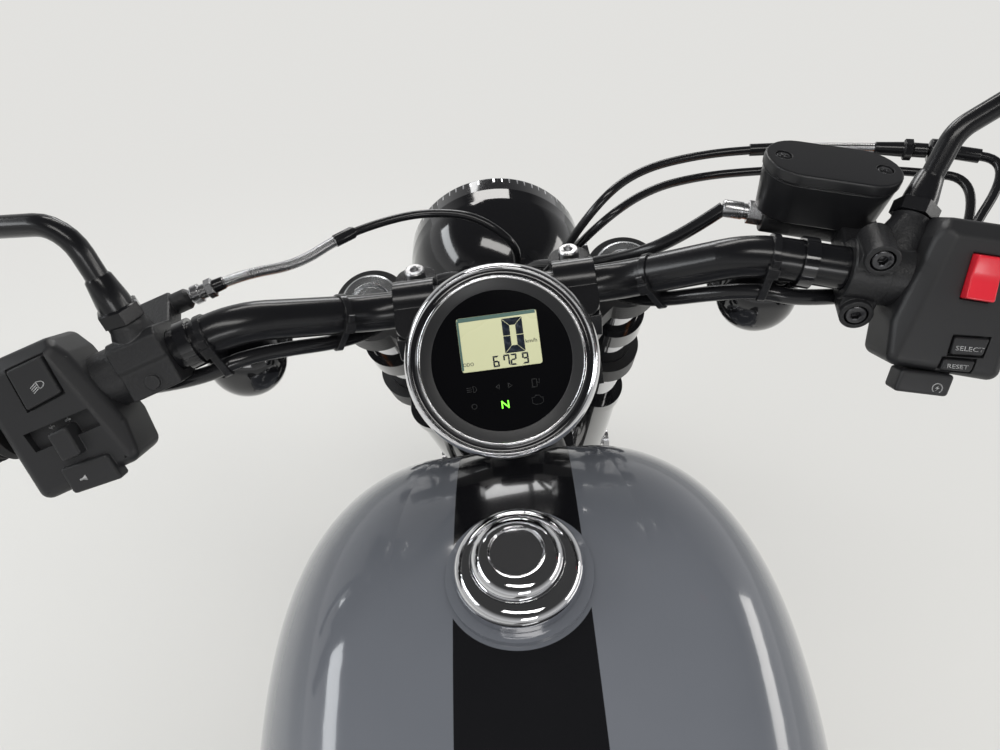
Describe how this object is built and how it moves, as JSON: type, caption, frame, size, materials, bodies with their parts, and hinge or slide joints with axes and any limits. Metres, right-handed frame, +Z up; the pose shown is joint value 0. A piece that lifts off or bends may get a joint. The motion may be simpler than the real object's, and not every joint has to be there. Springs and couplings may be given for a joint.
{
  "type": "cruiser motorcycle",
  "caption": "Cruiser motorcycle with a wide bar, round gauge, teardrop tank, air-cooled V engine and cast wheels, leaning on its side stand.",
  "frame": {"origin": "centre of the bounding box on the floor", "axes": "+X forward, +Y to the rider's left, +Z up; the motorcycle leans towards +Y on its side stand"},
  "size_m": [2.3048, 0.8909, 1.2066],
  "materials": {
    "tank_paint": "gloss grey paint with a black stripe",
    "fender_paint": "gloss black paint",
    "frame_paint": "satin black enamel",
    "black_casting": "rough satin black casting",
    "bar_paint": "gloss black",
    "chrome": "polished chrome",
    "steel": "turned steel",
    "alloy": "brushed alloy",
    "engine_black": "satin black engine enamel",
    "wheel_black": "gloss black wheel enamel",
    "tyre": "matt tyre rubber",
    "rubber": "matt rubber",
    "belt": "toothed belt rubber",
    "seat_leather": "grained black leather",
    "switch_plastic": "fine matt texture",
    "case_plastic": "gloss black moulding",
    "dial_glass": "black glass face",
    "lens": "clear lamp glass",
    "red_lens": "red lamp lens",
    "signal": "black lamp body with amber lens"
  },
  "bodies": {
    "frame": {"air_cleaner": "chrome", "crankcase": "engine_black", "cylinder_heads": "engine_black", "cylinders": "engine_black", "dampers": "steel", "drive_belt": "belt", "engine_covers": "chrome", "exhaust_pipes": "chrome", "fender_struts": "chrome", "filler_cap": "chrome", "foot_controls": "chrome", "frame": "frame_paint", "fuel_tank": "tank_paint", "muffler": "chrome", "pillion_seat": "seat_leather", "plate_bracket": "bar_paint", "rear_caliper": "black_casting", "rear_fender": "fender_paint", "rear_turn_signals": "signal", "rocker_covers": "chrome", "seat": "seat_leather", "side_covers": "fender_paint", "springs": "chrome", "swingarm": "frame_paint", "tail_lamp": "red_lens"},
    "steering": {"brake_lever": "bar_paint", "clutch_lever": "bar_paint", "clutch_perch": "black_casting", "fork_caps": "alloy", "fork_sliders": "bar_paint", "fork_tubes": "chrome", "front_axle": "steel", "front_caliper": "black_casting", "front_fender": "fender_paint", "front_turn_signals": "signal", "gauge": "case_plastic", "gauge_bezel": "chrome", "gauge_dial": "dial_glass", "grips": "rubber", "handlebar": "bar_paint", "headlamp": "bar_paint", "headlamp_lens": "lens", "left_switches": "switch_plastic", "lower_clamp": "black_casting", "master_cylinder": "black_casting", "mirrors": "bar_paint", "right_switches": "switch_plastic", "risers": "bar_paint", "upper_clamp": "black_casting"},
    "front_wheel": {"front_disc": "steel", "front_tyre": "tyre", "front_wheel": "wheel_black"},
    "rear_wheel": {"rear_disc": "steel", "rear_pulley": "bar_paint", "rear_tyre": "tyre", "rear_wheel": "wheel_black"},
    "side_stand": {"side_stand": "frame_paint"}
  },
  "joints": [
    {"name": "steering", "type": "hinge", "parent": "frame", "child": "steering", "pos_m": [0.54547, -0.05532, 0.72025], "axis": [-0.4841, 0.1669, 0.8589], "range_deg": [-38, 34]},
    {"name": "front_wheel", "type": "hinge", "parent": "steering", "child": "front_wheel", "pos_m": [0.82154, -0.13047, 0.3249], "axis": [-0.0307, 0.9778, -0.2073], "continuous": true},
    {"name": "rear_wheel", "type": "hinge", "parent": "frame", "child": "rear_wheel", "pos_m": [-0.74844, -0.13359, 0.31863], "axis": [-0.0001, 0.9816, -0.1908], "continuous": true},
    {"name": "side_stand", "type": "hinge", "parent": "frame", "child": "side_stand", "pos_m": [-0.00655, -0.02874, 0.18661], "axis": [0.0775, 0.8377, 0.5405], "range_deg": [0, 102]}
  ]
}
